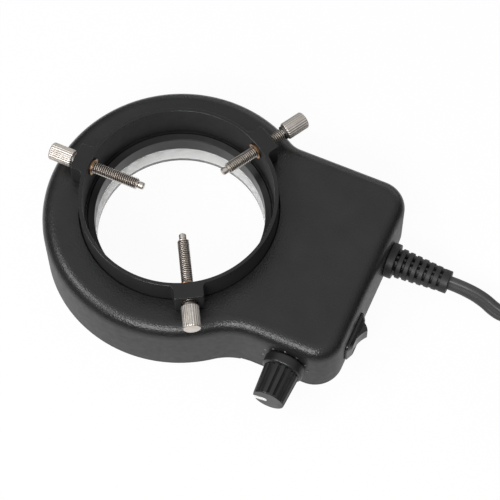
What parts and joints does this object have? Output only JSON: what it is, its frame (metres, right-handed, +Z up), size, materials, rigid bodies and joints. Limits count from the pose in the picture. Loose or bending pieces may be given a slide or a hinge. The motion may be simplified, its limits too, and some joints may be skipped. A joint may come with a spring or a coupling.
{
  "type": "microscope led ring lamp",
  "caption": "LED ring lamp that clamps round a stereo microscope's objective with thumbscrews, with a built-on control box, dimmer knob, rocker switch and mains cord.",
  "frame": {"origin": "on the lamp's optical axis, on the plane that its underside rests on", "axes": "+X runs from the ring to the control box's back wall, where the switch and the cord are; +Z is up, out of the ring's clamp side; the knob is on the -Y side"},
  "size_m": [0.2541, 0.0964, 0.034],
  "materials": {
    "housing_plastic": "textured",
    "clamp_black": "satin",
    "sleeve_black": "semi-gloss",
    "screw_nickel": "nickel plated",
    "screw_steel": "zinc plated",
    "bush_brass": "satin",
    "board_white": "gloss",
    "cover_clear": "clear",
    "board_green": "satin",
    "transformer_yellow": "matte",
    "component_black": "matte",
    "knob_black": "satin",
    "pointer_white": "matte",
    "switch_black": "gloss",
    "cord_black": "satin",
    "lead_brown": "satin"
  },
  "bodies": {
    "lamp": {"housing": "housing_plastic", "bottom_cover": "housing_plastic", "cover_screw_1": "screw_steel", "cover_screw_2": "screw_steel", "cover_screw_3": "screw_steel", "cover_screw_4": "screw_steel", "clamp_ring": "clamp_black", "inner_sleeve": "sleeve_black", "led_board": "board_white", "led_cover": "cover_clear", "bush_1": "bush_brass", "bush_2": "bush_brass", "bush_3": "bush_brass", "driver_board": "board_green", "board_screw_1": "screw_steel", "board_screw_2": "screw_steel", "transformer": "transformer_yellow", "bulk_capacitor": "component_black", "output_capacitor": "component_black", "rectifier": "component_black", "pot_body": "screw_steel", "pot_washer": "screw_steel", "pot_nut": "screw_steel", "switch_body": "switch_black", "switch_terminal_1": "bush_brass", "switch_terminal_2": "bush_brass", "strain_relief": "cord_black", "cord_lead": "cord_black", "cord_coil": "cord_black", "cord_tail": "cord_black", "coil_tie": "cord_black", "plug_body": "cord_black", "plug_blade_1": "bush_brass", "plug_blade_2": "bush_brass", "live_lead": "lead_brown", "neutral_lead": "lead_brown", "switch_lead": "lead_brown", "led_lead": "lead_brown"},
    "left_point": {"screw_point_1": "screw_nickel"},
    "left_screw": {"thumbscrew_1": "screw_nickel"},
    "front_point": {"screw_point_2": "screw_nickel"},
    "front_screw": {"thumbscrew_2": "screw_nickel"},
    "right_point": {"screw_point_3": "screw_nickel"},
    "right_screw": {"thumbscrew_3": "screw_nickel"},
    "dimmer": {"pot_shaft": "screw_steel", "dimmer_knob": "knob_black", "knob_pointer": "pointer_white"},
    "rocker": {"rocker": "switch_black"}
  },
  "joints": [
    {"name": "left_screw_slide", "type": "slide", "parent": "lamp", "child": "left_point", "axis": [-1, 0, 0], "range_m": [-0.0003, 0.0185]},
    {"name": "left_screw_turn", "type": "hinge", "parent": "left_point", "child": "left_screw", "pos_m": [-0.04, 0, 0.03015], "axis": [-1, 0, 0], "range_deg": [-154.4, 9514.4]},
    {"name": "front_screw_slide", "type": "slide", "parent": "lamp", "child": "front_point", "axis": [0.5, -0.866, 0], "range_m": [-0.0003, 0.0185]},
    {"name": "front_screw_turn", "type": "hinge", "parent": "front_point", "child": "front_screw", "pos_m": [0.02, -0.03464, 0.03015], "axis": [0.5, -0.866, 0], "range_deg": [-154.4, 9514.4]},
    {"name": "right_screw_slide", "type": "slide", "parent": "lamp", "child": "right_point", "axis": [0.5, 0.866, 0], "range_m": [-0.0054, 0.0134]},
    {"name": "right_screw_turn", "type": "hinge", "parent": "right_point", "child": "right_screw", "pos_m": [0.02, 0.03464, 0.03015], "axis": [0.5, 0.866, 0], "range_deg": [-2777.3, 6891.6]},
    {"name": "dimmer_turn", "type": "hinge", "parent": "lamp", "child": "dimmer", "pos_m": [0.0546, -0.03315, 0.0137], "axis": [0, 1, 0], "range_deg": [-45, 255]},
    {"name": "rocker_tilt", "type": "hinge", "parent": "lamp", "child": "rocker", "pos_m": [0.06985, -0.0137, 0.009], "axis": [0, 0, 1], "range_deg": [0, 34]}
  ],
  "couplings": [
    {"joint": "left_screw_turn", "follows": "left_screw_slide", "rad_per_m": 8976},
    {"joint": "front_screw_turn", "follows": "front_screw_slide", "rad_per_m": 8976},
    {"joint": "right_screw_turn", "follows": "right_screw_slide", "rad_per_m": 8976}
  ]
}
